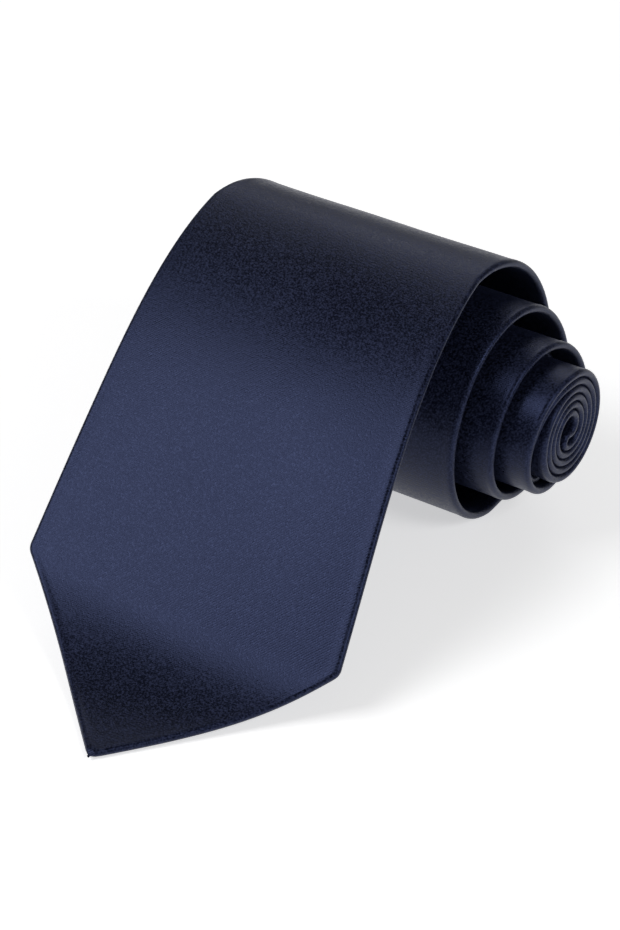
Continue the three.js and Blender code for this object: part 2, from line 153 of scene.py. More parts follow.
def whole_path():
    """Joins the free end, the blade's turns, the fold, the tail's turns and the tail's hanging end.

    Returns each point's place (y, z), its length past the roll, its angle on the roll, and 1 on the tail."""
    free, past = free_end()
    turns = np.arange(LEAVES_AT, FOLD_AT + 0.5, TURN_STEP)
    blade = on_roll(blade_radius(turns), turns)
    outer = np.abs(turns - 180) < RESTS_WITHIN
    blade[outer, 1] = np.maximum(blade[outer, 1], HALF_THICK)
    outside = float(blade_radius(np.array(float(FOLD_AT))))
    inside = float(tail_radius(np.array(float(FOLD_AT))))
    about = on_roll((outside + inside) / 2, FOLD_AT)
    turned = np.radians(FOLD_AT + np.arange(FOLD_STEP, 180, FOLD_STEP))
    fold = about + (outside - inside) / 2 * np.stack([np.sin(turned), np.cos(turned)], -1)
    back = np.arange(FOLD_AT, TAIL_ENDS_AT - 0.5, -TURN_STEP)
    tail = on_roll(tail_radius(back), back)
    drop = np.arange(1, TAIL_DROP + POINT_BLUNT, 0.75)
    hang = tail[-1] + np.stack([0.012 * drop ** 1.5, -drop], -1)  # it swings back a little as it hangs
    place = np.concatenate([free[::-1], blade[1:], fold, tail, hang])
    past = np.concatenate([past[::-1], np.zeros(len(place) - len(past))])
    angle = np.concatenate([0 * free[:, 0] + LEAVES_AT, turns[1:], 0 * turned + FOLD_AT, back,
                            0 * drop + TAIL_ENDS_AT])
    is_tail = np.concatenate([np.zeros(len(free) + len(blade) - 1), np.full(len(fold), 0.5),
                              np.ones(len(tail) + len(hang))])
    return place, past, angle, is_tail


PATH, PAST, ANGLE, IS_TAIL = whole_path()
ALONG = np.concatenate([[0], np.cumsum(np.linalg.norm(np.diff(PATH, axis=0), axis=1))]) - POINT_BLUNT
LENGTH = float(ALONG[-1]) - POINT_BLUNT
S_LEAVE = float(ALONG[len(PAST) - 1 - int(np.argmax(PAST[::-1] > 0))])
S_BEND = BLADE_OPENING + BEND_LINE
TANGENT = np.gradient(PATH, ALONG, axis=0)
for _ in range(6):  # evens out the direction where two stretches of the path join
    TANGENT[1:-1] = (TANGENT[:-2] + 2 * TANGENT[1:-1] + TANGENT[2:]) / 4
TANGENT /= np.linalg.norm(TANGENT, axis=1)[:, None]
NORMAL = np.stack([-TANGENT[:, 1], TANGENT[:, 0]], -1)


def half_width(s):
    """Half the width of the flat tie: a point at each end, straight tapers, and a neck of even width."""
    s = np.asarray(s, float)
    t = LENGTH - s
    blade_body = np.maximum(BLADE_WIDTH / 2 - (s - BLADE_POINT) * BLADE_TAPER, NECK_WIDTH / 2)
    tail_body = np.maximum(TAIL_WIDTH / 2 - (t - TAIL_POINT) * TAIL_TAPER, NECK_WIDTH / 2)
    body = np.maximum(blade_body, tail_body)
    blade_side = (s + POINT_BLUNT) * BLADE_WIDTH / 2 / (BLADE_POINT + POINT_BLUNT)
    tail_side = (t + POINT_BLUNT) * TAIL_WIDTH / 2 / (TAIL_POINT + POINT_BLUNT)
    side = np.minimum(blade_side, tail_side)
    reach = np.minimum(s, t) + POINT_BLUNT
    nose_middle, nose_end = POINT_ROUNDING * 1.41, POINT_ROUNDING * 0.7
    nose = np.sqrt(np.maximum(POINT_ROUNDING ** 2 - (nose_middle - reach) ** 2, 0.01))
    side = np.where(reach < nose_end, np.minimum(side, nose), side)
    blend_over = 1.2  # rounds the corners where the sides meet the body
    gap = np.clip((body - side) / blend_over, -1, 1)
    return np.minimum(body, side) - blend_over * (1 - np.abs(gap)) ** 2 / 4


def centre_line(s):
    """The tie's middle in x: its right edge, which moves out as the tie winds in, less half its width."""
    angle, past, is_tail = (np.interp(s, ALONG, f) for f in (ANGLE, PAST, IS_TAIL))
    turns = np.maximum(angle / 360, 0)
    recess = TAIL_RECESS * (1 - smooth(turns, 1, 3)) * is_tail
    edge = RIGHT_EDGE + TELESCOPE * np.minimum(turns, TELESCOPED_TURNS) - recess
    body = np.clip(s, S_LEAVE, LENGTH - TAIL_POINT)
    return edge - half_width(body) + SKEW * past


def ease(s, u):
    """How far the cloth stands off its path: the free end twists a little, and its face swells and dips."""
    past = np.interp(s, ALONG, PAST)
    free = past / PAST.max()
    twist = -TWIST * u * free ** 2 * smooth(s, 5, 40)
    swell = SWELL * np.sin(s / 26 + 0.6) * np.cos(u / 24 + s / 70) * smooth(past, 4, 40) * smooth(s, 20, 60)
    ripple = RIPPLE * np.sin(s / 11 + u / 9) * np.sin(u / 17 - s / 31) * smooth(s, 20, 50)
    return twist + swell + ripple * np.where(s < S_LEAVE + OUTER_CLOTH, 1, TIGHT_SHARE)


def placed(s, u, n):
    """(s, u, n) in millimetres becomes a point of the frame in metres, for arrays of any one shape."""
    s, u, n = np.broadcast_arrays(np.asarray(s, float), u, n)
    n = n + ease(s, u)
    y, z, ny, nz = (np.interp(s, ALONG, f) for f in (*PATH.T, *NORMAL.T))
    x = centre_line(s) + u
    height = z + n * nz
    height = np.where(height < REST, REST * np.exp(np.minimum(height - REST, 0) / REST_FADE), height)
    return np.stack([x - ORIGIN[0], y + n * ny - ORIGIN[1], height], -1) / 1000


# ---------------------------------------------------------------- meshes
def mesh_piece(name, points, quads, flat):
    """A mesh object from arrays of points and quads. flat is each point's (u, s, n) on the flat cloth."""
    mesh = bpy.data.meshes.new(name)
    points = np.asarray(points, np.float32).reshape(-1, 3)
    quads = np.asarray(quads, np.int32).reshape(-1, 4)
    mesh.vertices.add(len(points))
    mesh.vertices.foreach_set("co", points.ravel())
    mesh.loops.add(quads.size)
    mesh.loops.foreach_set("vertex_index", quads.ravel())
    mesh.polygons.add(len(quads))
    mesh.polygons.foreach_set("loop_start", np.arange(0, quads.size, 4, dtype=np.int32))
    mesh.polygons.foreach_set("use_smooth", np.full(len(quads), True))
    mesh.update(calc_edges=True)
    spot = mesh.attributes.new("cloth_mm", "FLOAT_VECTOR", "POINT")
    spot.data.foreach_set("vector", np.asarray(flat, np.float32).ravel())
    mesh.validate()
    made = bpy.data.objects.new(name, mesh)
    bpy.context.scene.collection.objects.link(made)
    return made


def ring_quads(rows, ring):
    """Quads of a tube of rows sections, each of ring points, with strips across the ring that close its ends.

    The ring runs out along one side and back along the other, so point j faces point ring - 1 - j."""
    r, j = np.meshgrid(np.arange(rows - 1), np.arange(ring), indexing="ij")
    a, b = r * ring + j, r * ring + (j + 1) % ring
    skin = np.stack([a, a + ring, b + ring, b], -1).reshape(-1, 4)
    k = np.arange(ring // 2 - 1)
    first = np.stack([k, k + 1, ring - 2 - k, ring - 1 - k], -1)
    last = first[:, ::-1] + (rows - 1) * ring
    return np.concatenate([skin, first, last])


def spaced(start, end, step, extra=()):
    """Even steps from start to end, with extra ones where the shape needs them."""
    even = np.linspace(start, end, max(int(round((end - start) / step)), 2) + 1)
    more = [e for e in extra if start < e < end]
    return np.unique(np.round(np.concatenate([even, more]), 4))


def flap_edge(s):
    """How far each back flap's edge is from the middle: hemmed round the points, then closing to a slit."""
    half = half_width(s)
    across = HEM * math.sqrt(2)

    def opened(d, corner_half, point, opening):
        closing = (corner_half - across) * (1 - (d - point) / (opening - point))
        return np.where(d < point, half - across, closing)

    t = LENGTH - s
    blade = opened(s, BLADE_WIDTH / 2, BLADE_POINT, BLADE_OPENING)
    tail = opened(t, TAIL_WIDTH / 2, TAIL_POINT, TAIL_OPENING)
    edge = np.where(s < LENGTH / 2, blade, tail)
    fold_starts = half - HALF_THICK - 0.2
    return np.clip(edge, SEAM_SLIT / 2, np.maximum(fold_starts, SEAM_SLIT / 2))


def across_ring(back, fold, front):
    """The envelope's section, as rows of four: shares of the flap's edge and of the half width, then offsets
    across and out, in fold radii.

    It runs from the right flap's edge round the right fold, over the face and round the left fold to the left
    flap's edge. back, fold and front are how many steps each stretch takes."""
    f = np.linspace(0, 1, back, endpoint=False)
    turn = np.linspace(-90, 90, fold, endpoint=False)
    face = np.sin(np.linspace(90, -90, front, endpoint=False) * math.pi / 180)
    right = [(1 - k, k, 0, -1) for k in f]
    right += [(0, 1, math.cos(math.radians(a)), math.sin(math.radians(a))) for a in turn]
    face = [(0, k, 0, 1) for k in face]
    left = [(0, -1, -math.cos(math.radians(a)), math.sin(math.radians(a))) for a in -turn]
    left += [(-(1 - k), -k, 0, -1) for k in 1 - f]
    return np.array(right + face + left + [(-1, 0, 0, -1)])


def envelope(name, start, end, step=1.7, back=9, fold=7, front=44, extra=()):
    """The satin envelope from start to end: cloth folded round the wool, a closed skin of its own thickness.

    Each section is a flat C. Its folds are half circles as deep as the tie is thick, drawn out a little so
    that they look pressed, with plumper cloth beside them, and they shrink to a round nose at the point."""
    s = spaced(start, end, step, extra)
    shape = across_ring(back, fold, front)
    half, edge = half_width(s)[:, None], flap_edge(s)[:, None]
    fold_deep = np.minimum(HALF_THICK, half * 0.42)
    drawn_out, plump = 1.15, 0.12 * smooth(half, 3, 8)

    def skin(depth):
        width = half - fold_deep * drawn_out
        u = shape[:, 0] * edge + shape[:, 1] * width + shape[:, 2] * (fold_deep - depth) * drawn_out
        near_edge = np.exp(-((np.abs(u) - half + 1.6) / 1.1) ** 2)
        n = shape[:, 3] * (fold_deep - depth + plump * near_edge)
        return u, n

    outer_u, outer_n = skin(0)
    inner_u, inner_n = skin(SATIN)
    u = np.concatenate([outer_u, inner_u[:, ::-1]], 1)
    n = np.concatenate([outer_n, inner_n[:, ::-1]], 1)
    s_all = np.repeat(s[:, None], u.shape[1], 1)
    flat = np.stack([u, s_all, n], -1)
    return mesh_piece(name, placed(s_all, u, n), ring_quads(len(s), u.shape[1]), flat)


def ply(name, start, end, top, thick, step=2.2, extra=()):
    """A flat ply inside the envelope: its outline is the tie's, drawn in by a margin, with thinner edges."""
    margin, across = 0.75, 26
    s = spaced(start, end, step, extra)
    reach = (half_width(s) - margin)[:, None]
    f = np.sin(np.linspace(-90, 90, across) * math.pi / 180)
    bevel = 1 - 0.5 * (np.abs(f) > 0.999)
    upper = top - thick / 2 + thick / 2 * bevel
    lower = top - thick / 2 - thick / 2 * bevel
    u = np.concatenate([-f * reach, f * reach], 1)
    n = np.broadcast_to(np.concatenate([upper, lower]), u.shape)
    s_all = np.repeat(s[:, None], u.shape[1], 1)
    flat = np.stack([u, s_all, n], -1)
    return mesh_piece(name, placed(s_all, u, n), ring_quads(len(s), u.shape[1]), flat)


def stitches(name, s, u, n, run_s, run_u, thick=THREAD, sink=0.25):
    """Short threads, one for each place (s, u, n): a six-sided bead drawn out to the length (run_s, run_u).

    Along each bead its thickness follows a half ellipse and its ends sink into the cloth."""
    s, u, n, run_s, run_u = np.broadcast_arrays(*(np.asarray(v, float) for v in (s, u, n, run_s, run_u)))
    rings, sides = 7, 6
    along = np.sin(np.linspace(-90, 90, rings) * math.pi / 180)
    round_it = np.arange(sides) * math.pi / 3
    girth = np.sqrt(np.maximum(1 - along ** 2, 0.03)) * thick / 2
    length = np.hypot(run_s, run_u)
    length = np.where(length > 0, length, 1)
    side_s, side_u = -run_u / length, run_s / length
    a, r = along[None, :, None], round_it[None, None, :]
    wide = girth[None, :, None] * np.cos(r)
    high = girth[None, :, None] * np.sin(r) - sink * a ** 2

    def spread(v):
        return v[:, None, None]

    ss = spread(s) + spread(run_s) / 2 * a + spread(side_s) * wide
    uu = spread(u) + spread(run_u) / 2 * a + spread(side_u) * wide
    nn = spread(n) + high
    k, j = np.meshgrid(np.arange(rings - 1), np.arange(sides), indexing="ij")
    here, beside = k * sides + j, k * sides + (j + 1) % sides
    skin = np.stack([here, beside, beside + sides, here + sides], -1).reshape(-1, 4)
    first_cap = np.array([[3, 2, 1, 0], [5, 4, 3, 0]])
    last_cap = (rings - 1) * sides + np.array([[0, 1, 2, 3], [0, 3, 4, 5]])
    bead = np.concatenate([skin, first_cap, last_cap])
    quads = (bead[None] + (np.arange(len(s)) * rings * sides)[:, None, None]).reshape(-1, 4)
    ss, uu, nn = (v.reshape(-1) for v in np.broadcast_arrays(ss, uu, nn))
    return mesh_piece(name, placed(ss, uu, nn), quads, np.stack([uu, ss, nn], -1))


# ---------------------------------------------------------------- materials
class Cloth:
    """A material being built: its nodes, its links and its shader."""

    def __init__(self, name, **sockets):
        self.material = bpy.data.materials.new(name)
        self.material.use_nodes = True
        self.tree = self.material.node_tree
        self.shader = self.tree.nodes["Principled BSDF"]
        for socket, value in sockets.items():
            self.shader.inputs[socket.replace("_", " ")].default_value = value

    def node(self, kind, links=None, **settings):
        """One node. links says what feeds each of its inputs: another node's output, or a number."""
        made = self.tree.nodes.new(kind)
        for key, value in settings.items():
            setattr(made, key, value)
        for key, value in (links or {}).items():
            if isinstance(value, bpy.types.NodeSocket):
                self.tree.links.new(value, made.inputs[key])
            else:
                made.inputs[key].default_value = value
        return made

    def math(self, operation, a, b=0.0):
        """a and b put through one operation. Some take a alone."""
        return self.node("ShaderNodeMath", {0: a, 1: b}, operation=operation).outputs[0]

    def spot(self):
        """Where a point is on the flat cloth, in millimetres, as u, s and n."""
        return self.node("ShaderNodeAttribute", attribute_name="cloth_mm").outputs["Vector"]

    def turned(self, vector, scale, angle=0.0):
        """A place scaled, and turned in the plane of the cloth by an angle in degrees."""
        return self.node("ShaderNodeMapping", {"Vector": vector, "Scale": scale,
                                               "Rotation": (0, 0, math.radians(angle))}).outputs[0]

    def noise(self, vector, scale, detail=2.0, rough=0.5):
        """Soft mottling, from 0 to 1, about 1 / scale across."""
        return self.node("ShaderNodeTexNoise", {"Vector": vector, "Scale": scale, "Detail": detail,
                                                "Roughness": rough}).outputs["Fac"]

    def threads(self, vector, pitch, wobble=0.4):
        """Rows of parallel threads, one for each pitch along the vector's first axis.

        The wave repeats each time its scaled input grows by a tenth of pi."""
        wave = self.node("ShaderNodeTexWave", {"Vector": vector, "Scale": math.pi / 10 / pitch,
                                               "Distortion": wobble, "Detail": 1.0, "Detail Scale": 2.0},
                         wave_type="BANDS", bands_direction="X", wave_profile="SIN")
        return wave.outputs["Fac"]

    def ramp(self, value, low, high, dark, light):
        """A colour that goes from dark to light as value goes from low to high."""
        made = self.node("ShaderNodeValToRGB", {"Fac": value})
        first, last = made.color_ramp.elements
        first.position, first.color = low, (*dark, 1)
        last.position, last.color = high, (*light, 1)
        return made.outputs["Color"]

    def between(self, value, low, high):
        """value, from 0 to 1, spread from low to high."""
        return self.node("ShaderNodeMapRange", {"Value": value, "To Min": low, "To Max": high}).outputs[0]

    def bump(self, height, strength, distance_mm, after=None):
        """A relief from a height, on top of the relief that comes before it."""
        links = {"Height": height, "Strength": strength, "Distance": distance_mm / 1000}
        if after is not None:
            links["Normal"] = after
        return self.node("ShaderNodeBump", links).outputs["Normal"]

    def wear(self, **outputs):
        """Feeds the shader: each socket by name."""
        for socket, output in outputs.items():
            self.tree.links.new(output, self.shader.inputs[socket.replace("_", " ")])
        return self.material


NAVY_DARK, NAVY_LIGHT = (0.0012, 0.0016, 0.0046), (0.0230, 0.0280, 0.0600)
SHEEN_BLUE = (0.36, 0.46, 1.0, 1)
UNSCALED = (1, 1, 1)  # the scale of a pattern that is only turned
TWILL_ANGLE, TWILL_PITCH = 45, 0.55


def satin_cloth():
    """Navy satin: long floats over a fine slanting twill, a grain of brighter threads, and a blue gloss."""
    c = Cloth("navy_satin", Roughness=0.40, Specular_IOR_Level=0.42, Sheen_Weight=0.02, Sheen_Roughness=0.5,
              Anisotropic=0.3)
    c.shader.inputs["Specular Tint"].default_value = SHEEN_BLUE
    c.shader.inputs["Sheen Tint"].default_value = SHEEN_BLUE
    spot = c.spot()
    twill = c.threads(c.turned(spot, UNSCALED, TWILL_ANGLE), TWILL_PITCH, 0.4)
    floats = c.noise(c.turned(spot, (0.5, 2.4, 1), TWILL_ANGLE), 1.6, 2.0, 0.6)
    grain = c.between(c.noise(spot, 1.9, 1.0, 0.6), -1.1, 2.1)
    cloudy = c.noise(c.turned(spot, (0.022, 0.014, 0.02)), 1.0, 2.0, 0.5)
    tone = c.math("ADD", c.math("MULTIPLY", twill, 0.10), c.math("MULTIPLY", grain, 0.60))
    tone = c.math("ADD", tone, c.math("MULTIPLY", cloudy, 0.30))
    colour = c.ramp(tone, 0.30, 0.95, NAVY_DARK, NAVY_LIGHT)
    gloss = c.math("ADD", c.math("MULTIPLY", grain, 0.6), c.math("MULTIPLY", floats, 0.4))
    rough = c.between(gloss, 0.27, 0.53)
    nap = c.math("ADD", c.math("MULTIPLY", grain, 0.7), c.math("MULTIPLY", floats, 0.5))
    relief = c.bump(nap, 0.22, 0.10, after=c.bump(twill, 0.16, 0.10))
    return c.wear(Base_Color=colour, Roughness=rough, Normal=relief)


def lining_cloth():
    """Smooth navy lining, woven square, a little shinier and darker than the satin."""
    c = Cloth("navy_lining", Roughness=0.38, Specular_IOR_Level=0.5, Sheen_Weight=0.2, Sheen_Roughness=0.4)
    spot = c.spot()
    warp = c.threads(spot, 0.30, 0.3)
    weft = c.threads(c.turned(spot, UNSCALED, 90), 0.36, 0.3)
    weave = c.math("MULTIPLY", warp, weft)
    tone = c.math("ADD", c.math("MULTIPLY", weave, 0.6), c.math("MULTIPLY", c.noise(spot, 1.1), 0.4))
    colour = c.ramp(tone, 0.1, 0.9, (0.006, 0.0075, 0.024), (0.016, 0.020, 0.062))
    rough = c.between(weave, 0.30, 0.5)
    return c.wear(Base_Color=colour, Roughness=rough, Normal=c.bump(weave, 0.3, 0.08))


def wool_cloth():
    """Undyed brushed wool: an open weave under a nap of short fibres."""
    c = Cloth("brushed_wool", Roughness=0.95, Sheen_Weight=0.5, Sheen_Roughness=0.7)
    spot = c.spot()
    weave = c.math("MULTIPLY", c.threads(spot, 1.1, 1.5), c.threads(c.turned(spot, UNSCALED, 90), 1.2, 1.5))
    nap = c.noise(spot, 1.8, 4.0, 0.7)
    tone = c.math("ADD", c.math("MULTIPLY", weave, 0.4), c.math("MULTIPLY", nap, 0.6))
    colour = c.ramp(tone, 0.2, 0.8, (0.42, 0.38, 0.31), (0.72, 0.69, 0.61))
    return c.wear(Base_Color=colour, Normal=c.bump(tone, 0.6, 0.25))


def sewing_thread():
    """Navy sewing thread with the slant of its two twisted strands."""
    c = Cloth("navy_thread", Roughness=0.5, Specular_IOR_Level=0.5, Sheen_Weight=0.3)
    twist = c.threads(c.turned(c.spot(), UNSCALED, 35), 0.16, 0.2)
    colour = c.ramp(twist, 0.2, 0.9, (0.008, 0.010, 0.034), (0.030, 0.036, 0.11))
    return c.wear(Base_Color=colour, Normal=c.bump(twist, 0.6, 0.05))


def label_cloth(name, dark, light, border):
    """A woven label with nothing on it: a satin ground, and a border line a little way in from each edge."""
    c = Cloth(name, Roughness=0.45, Sheen_Weight=0.3)
    spot = c.node("ShaderNodeAttribute", attribute_name="label_place").outputs["Vector"]
    parts = c.node("ShaderNodeSeparateXYZ", {"Vector": spot}).outputs
    edge = c.math("MAXIMUM", c.math("ABSOLUTE", parts[0]), c.math("ABSOLUTE", parts[1]))
    line = c.math("MULTIPLY", c.math("GREATER_THAN", edge, 0.84), c.math("LESS_THAN", edge, 0.89))
    weave = c.threads(c.turned(c.spot(), UNSCALED, 90), 0.28, 0.2)
    ground = c.ramp(weave, 0.1, 0.9, dark, light)
    mixed = c.node("ShaderNodeMix", {"Factor": line, "A": ground, "B": (*border, 1)}, data_type="RGBA")
    return c.wear(Base_Color=mixed.outputs["Result"], Normal=c.bump(c.math("ADD", weave, line), 0.35, 0.08))


def table_top():
    """A pale, matt, slightly mottled surface, which glows a little so that it stays pale in the low light."""
    c = Cloth("pale_table", Roughness=0.9, Specular_IOR_Level=0.15, Emission_Strength=0.55)
    c.shader.inputs["Emission Color"].default_value = (1, 1, 1, 1)
    place = c.node("ShaderNodeTexCoord").outputs["Object"]
    mottle = c.noise(place, 9.0, 3.0)
    return c.wear(Base_Color=c.ramp(mottle, 0.3, 0.7, (0.86, 0.86, 0.865), (0.88, 0.88, 0.885)))


SATIN_CLOTH, LINING_CLOTH = satin_cloth(), lining_cloth()
WOOL_CLOTH, SEWING_THREAD = wool_cloth(), sewing_thread()
MAKER_CLOTH = label_cloth("maker_label_weave", dark=(0.006, 0.007, 0.016), light=(0.014, 0.016, 0.034),
                          border=(0.25, 0.24, 0.22))
CARE_CLOTH = label_cloth("care_label_weave", dark=(0.62, 0.62, 0.64), light=(0.80, 0.80, 0.82),
                         border=(0.45, 0.45, 0.48))

# ---------------------------------------------------------------- what moves with what
HINGE = [float(v) for v in placed(S_BEND, 0, HALF_THICK)]


def finish_piece(piece, material, slot, body, *stands_for):
    """Gives a piece its cloth, the body it moves with and the nodes it stands for. Its slot is not used.

    The body is both where the piece crosses the bend line."""
    piece.data.materials.append(material)
    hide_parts(*stands_for)
    if body == "both":
        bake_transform(piece)
    else:
        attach(piece, body)


# ---------------------------------------------------------------- the envelope
AROUND, BESIDE = (-2, -1, 0, 1, 2), (-1, 0, 1)
CORNERS = [-0.6, 0, 0.6, 1.4, 2.4, 3.6, *(BLADE_POINT + d for d in AROUND),
           *(BLADE_OPENING + d for d in BESIDE)]
TAIL_CORNERS = [LENGTH - c for c in (-0.3, 0.3, 1, 2, *(TAIL_POINT + d for d in BESIDE),
                                     *(TAIL_OPENING + d for d in BESIDE))]
NECK_START, NECK_END = BLADE_PANEL, LENGTH - TAIL_PANEL
SEAM_HALF = 0.03  # half the gap between two panels, which their seam draws together
NOSE = 0.95  # how far the cloth runs past each end, inside the blunt point
blade_cloth = envelope("blade_cloth", -NOSE, NECK_START - SEAM_HALF, extra=CORNERS)
neck_cloth = envelope("neck_cloth", NECK_START + SEAM_HALF, NECK_END - SEAM_HALF, step=1.1, front=26, back=7)
tail_cloth = envelope("tail_cloth", NECK_END + SEAM_HALF, LENGTH + NOSE, front=26, back=7, extra=TAIL_CORNERS)
finish_piece(blade_cloth, SATIN_CLOTH, "satin", "both", "blade_envelope", "blade_envelope_rolled")
finish_piece(neck_cloth, SATIN_CLOTH, "satin", "roll", "neck_envelope")
finish_piece(tail_cloth, SATIN_CLOTH, "satin", "roll", "tail_envelope")

# ---------------------------------------------------------------- wool and lining inside
WOOL_TOP = HALF_THICK - SATIN - PLY_GAP
LINING_TOP = WOOL_TOP - WOOL - PLY_GAP
INSIDE_START = 4  # how far the wool and the linings stay from each point
INSIDE_END = LENGTH - INSIDE_START
LINED = 12  # how far each lining runs on past the place where the back flaps meet
WOOL_JOIN_GAP = 0.1
LINING_END, LINING_START = BLADE_OPENING + LINED, LENGTH - TAIL_OPENING - LINED
blade_wool = ply("blade_wool", INSIDE_START, WOOL_JOIN, WOOL_TOP, WOOL, extra=CORNERS)
tail_wool = ply("tail_wool", WOOL_JOIN + WOOL_JOIN_GAP, INSIDE_END, WOOL_TOP, WOOL, extra=TAIL_CORNERS)
blade_lining = ply("blade_lining", INSIDE_START, LINING_END, LINING_TOP, TIPPING, 1.2, CORNERS)
tail_lining = ply("tail_lining", LINING_START, INSIDE_END, LINING_TOP, TIPPING, 1.2, TAIL_CORNERS)
finish_piece(blade_wool, WOOL_CLOTH, "interlining", "both", "blade_interlining", "blade_interlining_rolled")
finish_piece(tail_wool, WOOL_CLOTH, "interlining", "roll", "tail_interlining")
finish_piece(blade_lining, LINING_CLOTH, "lining", "both", "blade_tipping")
finish_piece(tail_lining, LINING_CLOTH, "lining", "roll", "tail_tipping")

# ---------------------------------------------------------------- seams, stitches and bar tacks
PROUD = 0.1  # how far thread and trim stand off the cloth
FINE_THREAD, TRIM_THREAD = 0.24, 0.22
SLIP_PITCH, SLIP_LONG, SLIP_WIDE = 6.5, 1.6, 1.3
HEM_PITCH, CROSS_PITCH, CROSS_LONG = 2.6, 2.4, 1.7
TACK_THREADS, TACK_WIDE, TACK_LONG = 9, 5.0, 1.4


def sew(piece, body, node):
    """Finishes a piece of sewing thread."""
    finish_piece(piece, SEWING_THREAD, "thread", body, node)


def bar_tack(name, s):
    """Threads side by side along s, each across the whole tack, over two that run under them."""
    rows = s + np.linspace(0.1, TACK_LONG - 0.1, TACK_THREADS)
    under = s + np.array([TACK_LONG * 0.3, TACK_LONG * 0.7])
    lift = np.r_[np.full(TACK_THREADS, 0.22), 0.05, 0.05]
    slant = np.r_[0.15 * (-1.0) ** np.arange(TACK_THREADS), 0, 0]
    across = np.r_[np.full(TACK_THREADS, TACK_WIDE), TACK_WIDE * 0.9, TACK_WIDE * 0.9]
    return stitches(name, np.concatenate([rows, under]), 0.0, BACK - PROUD - lift, slant, across,
                    thick=FINE_THREAD, sink=0.12)


def slip_stitches(name, start, end):
    """The stitches that close the back: one each pitch, slanting across the slit by turns."""
    count = max(int((end - start) / SLIP_PITCH), 1)
    s = start + (np.arange(count) + 0.5) * (end - start) / count
    return stitches(name, s, 0, BACK - 0.02, SLIP_LONG, SLIP_WIDE * (-1.0) ** np.arange(count))


def hem_stitches(name, start, end, side):
    """The stitches that hold the lining to the hem, one each pitch along the hem's inner edge."""
    s = np.arange(start, end, HEM_PITCH / math.sqrt(2))
    return stitches(name, s, side * (flap_edge(s) - 0.1), BACK + 0.10, 1.0, side * 1.0,
                    thick=FINE_THREAD, sink=0.1)


SEAM_FROM, SEAM_TO = BLADE_OPENING + 1, LENGTH - TAIL_OPENING - 1
sew(slip_stitches("slip_stitches", SEAM_FROM + 2, S_LEAVE), "both", "slip_stitch_thread")
sew(slip_stitches("slip_stitches_rolled", S_LEAVE, SEAM_TO), "roll", "slip_stitch_thread_rolled")
sew(bar_tack("blade_tack", SEAM_FROM), "blade_end", "blade_bar_tack")
sew(bar_tack("tail_tack", SEAM_TO - TACK_LONG), "roll", "tail_bar_tack")


def hem_meets(point, width):
    """Where the hems of the two sides of a point meet, measured from the point."""
    return HEM * math.sqrt(2) * (point + POINT_BLUNT) / (width / 2) - POINT_BLUNT


SIDES = ((-1, "left"), (1, "right"))
BLADE_HEMS = hem_meets(BLADE_POINT, BLADE_WIDTH) + 1.5
TAIL_HEMS = LENGTH - hem_meets(TAIL_POINT, TAIL_WIDTH) - 1.5
for side, word in SIDES:
    blade_row = hem_stitches("blade_hem_stitches_" + word, BLADE_HEMS, BLADE_POINT, side)
    sew(blade_row, "blade_end", "blade_tipping_stitch_" + word)
    tail_row = hem_stitches("tail_hem_stitches_" + word, LENGTH - TAIL_POINT, TAIL_HEMS, side)
    sew(tail_row, "roll", "tail_tipping_stitch_" + word)


def cross_seam(name, s, n):
    """A row of running stitches straight across the tie, one each pitch, that stops short of the folds."""
    u = np.arange(-half_width(s) + 2, half_width(s) - 2, CROSS_PITCH)
    return stitches(name, np.full(len(u), s), u, n, 0.0, CROSS_LONG, thick=TRIM_THREAD, sink=0.15)


sew(cross_seam("blade_to_neck_stitches", NECK_START, HALF_THICK - 0.06), "roll", "blade_to_neck_seam")
sew(cross_seam("neck_to_tail_stitches", NECK_END, HALF_THICK - 0.06), "roll", "neck_to_tail_seam")
wool_row = cross_seam("wool_join_stitches", WOOL_JOIN + WOOL_JOIN_GAP / 2, WOOL_TOP - 0.1)
sew(wool_row, "roll", "interlining_join_stitch")


def thread_loop(name, start, towards, wide=3.2, long=9.0, lift=0.45):
    """The spare loop of the slip-stitch thread: a round thread carried along an ellipse on the back."""
    steps, sides = 48, 8
    turn = np.linspace(0, 2 * math.pi, steps, endpoint=False)
    about = np.arange(sides) * math.pi / 4
    ring_u, ring_s = wide / 2 * np.sin(turn), start + towards * long / 2 * (1 - np.cos(turn))
    out_u, out_s = np.sin(turn), -towards * np.cos(turn)
    radius = THREAD / 2
    u = ring_u[:, None] + radius * np.cos(about) * out_u[:, None]
    s = ring_s[:, None] + radius * np.cos(about) * out_s[:, None]
    n = BACK - lift + radius * np.sin(about) + 0 * u
    k, j = np.meshgrid(np.arange(steps), np.arange(sides), indexing="ij")
    here, ahead, beside = k * sides, (k + 1) % steps * sides, (j + 1) % sides
    quads = np.stack([here + j, here + beside, ahead + beside, ahead + j], -1)
    if towards > 0:  # a loop that runs the other way has its faces turned back out
        quads = quads[..., ::-1]
    return mesh_piece(name, placed(s, u, n), quads, np.stack([u, s, n], -1))


sew(thread_loop("blade_thread_loop", SEAM_FROM, -1), "blade_end", "blade_spare_thread_loop")
sew(thread_loop("tail_thread_loop", SEAM_TO, 1), "roll", "tail_spare_thread_loop")


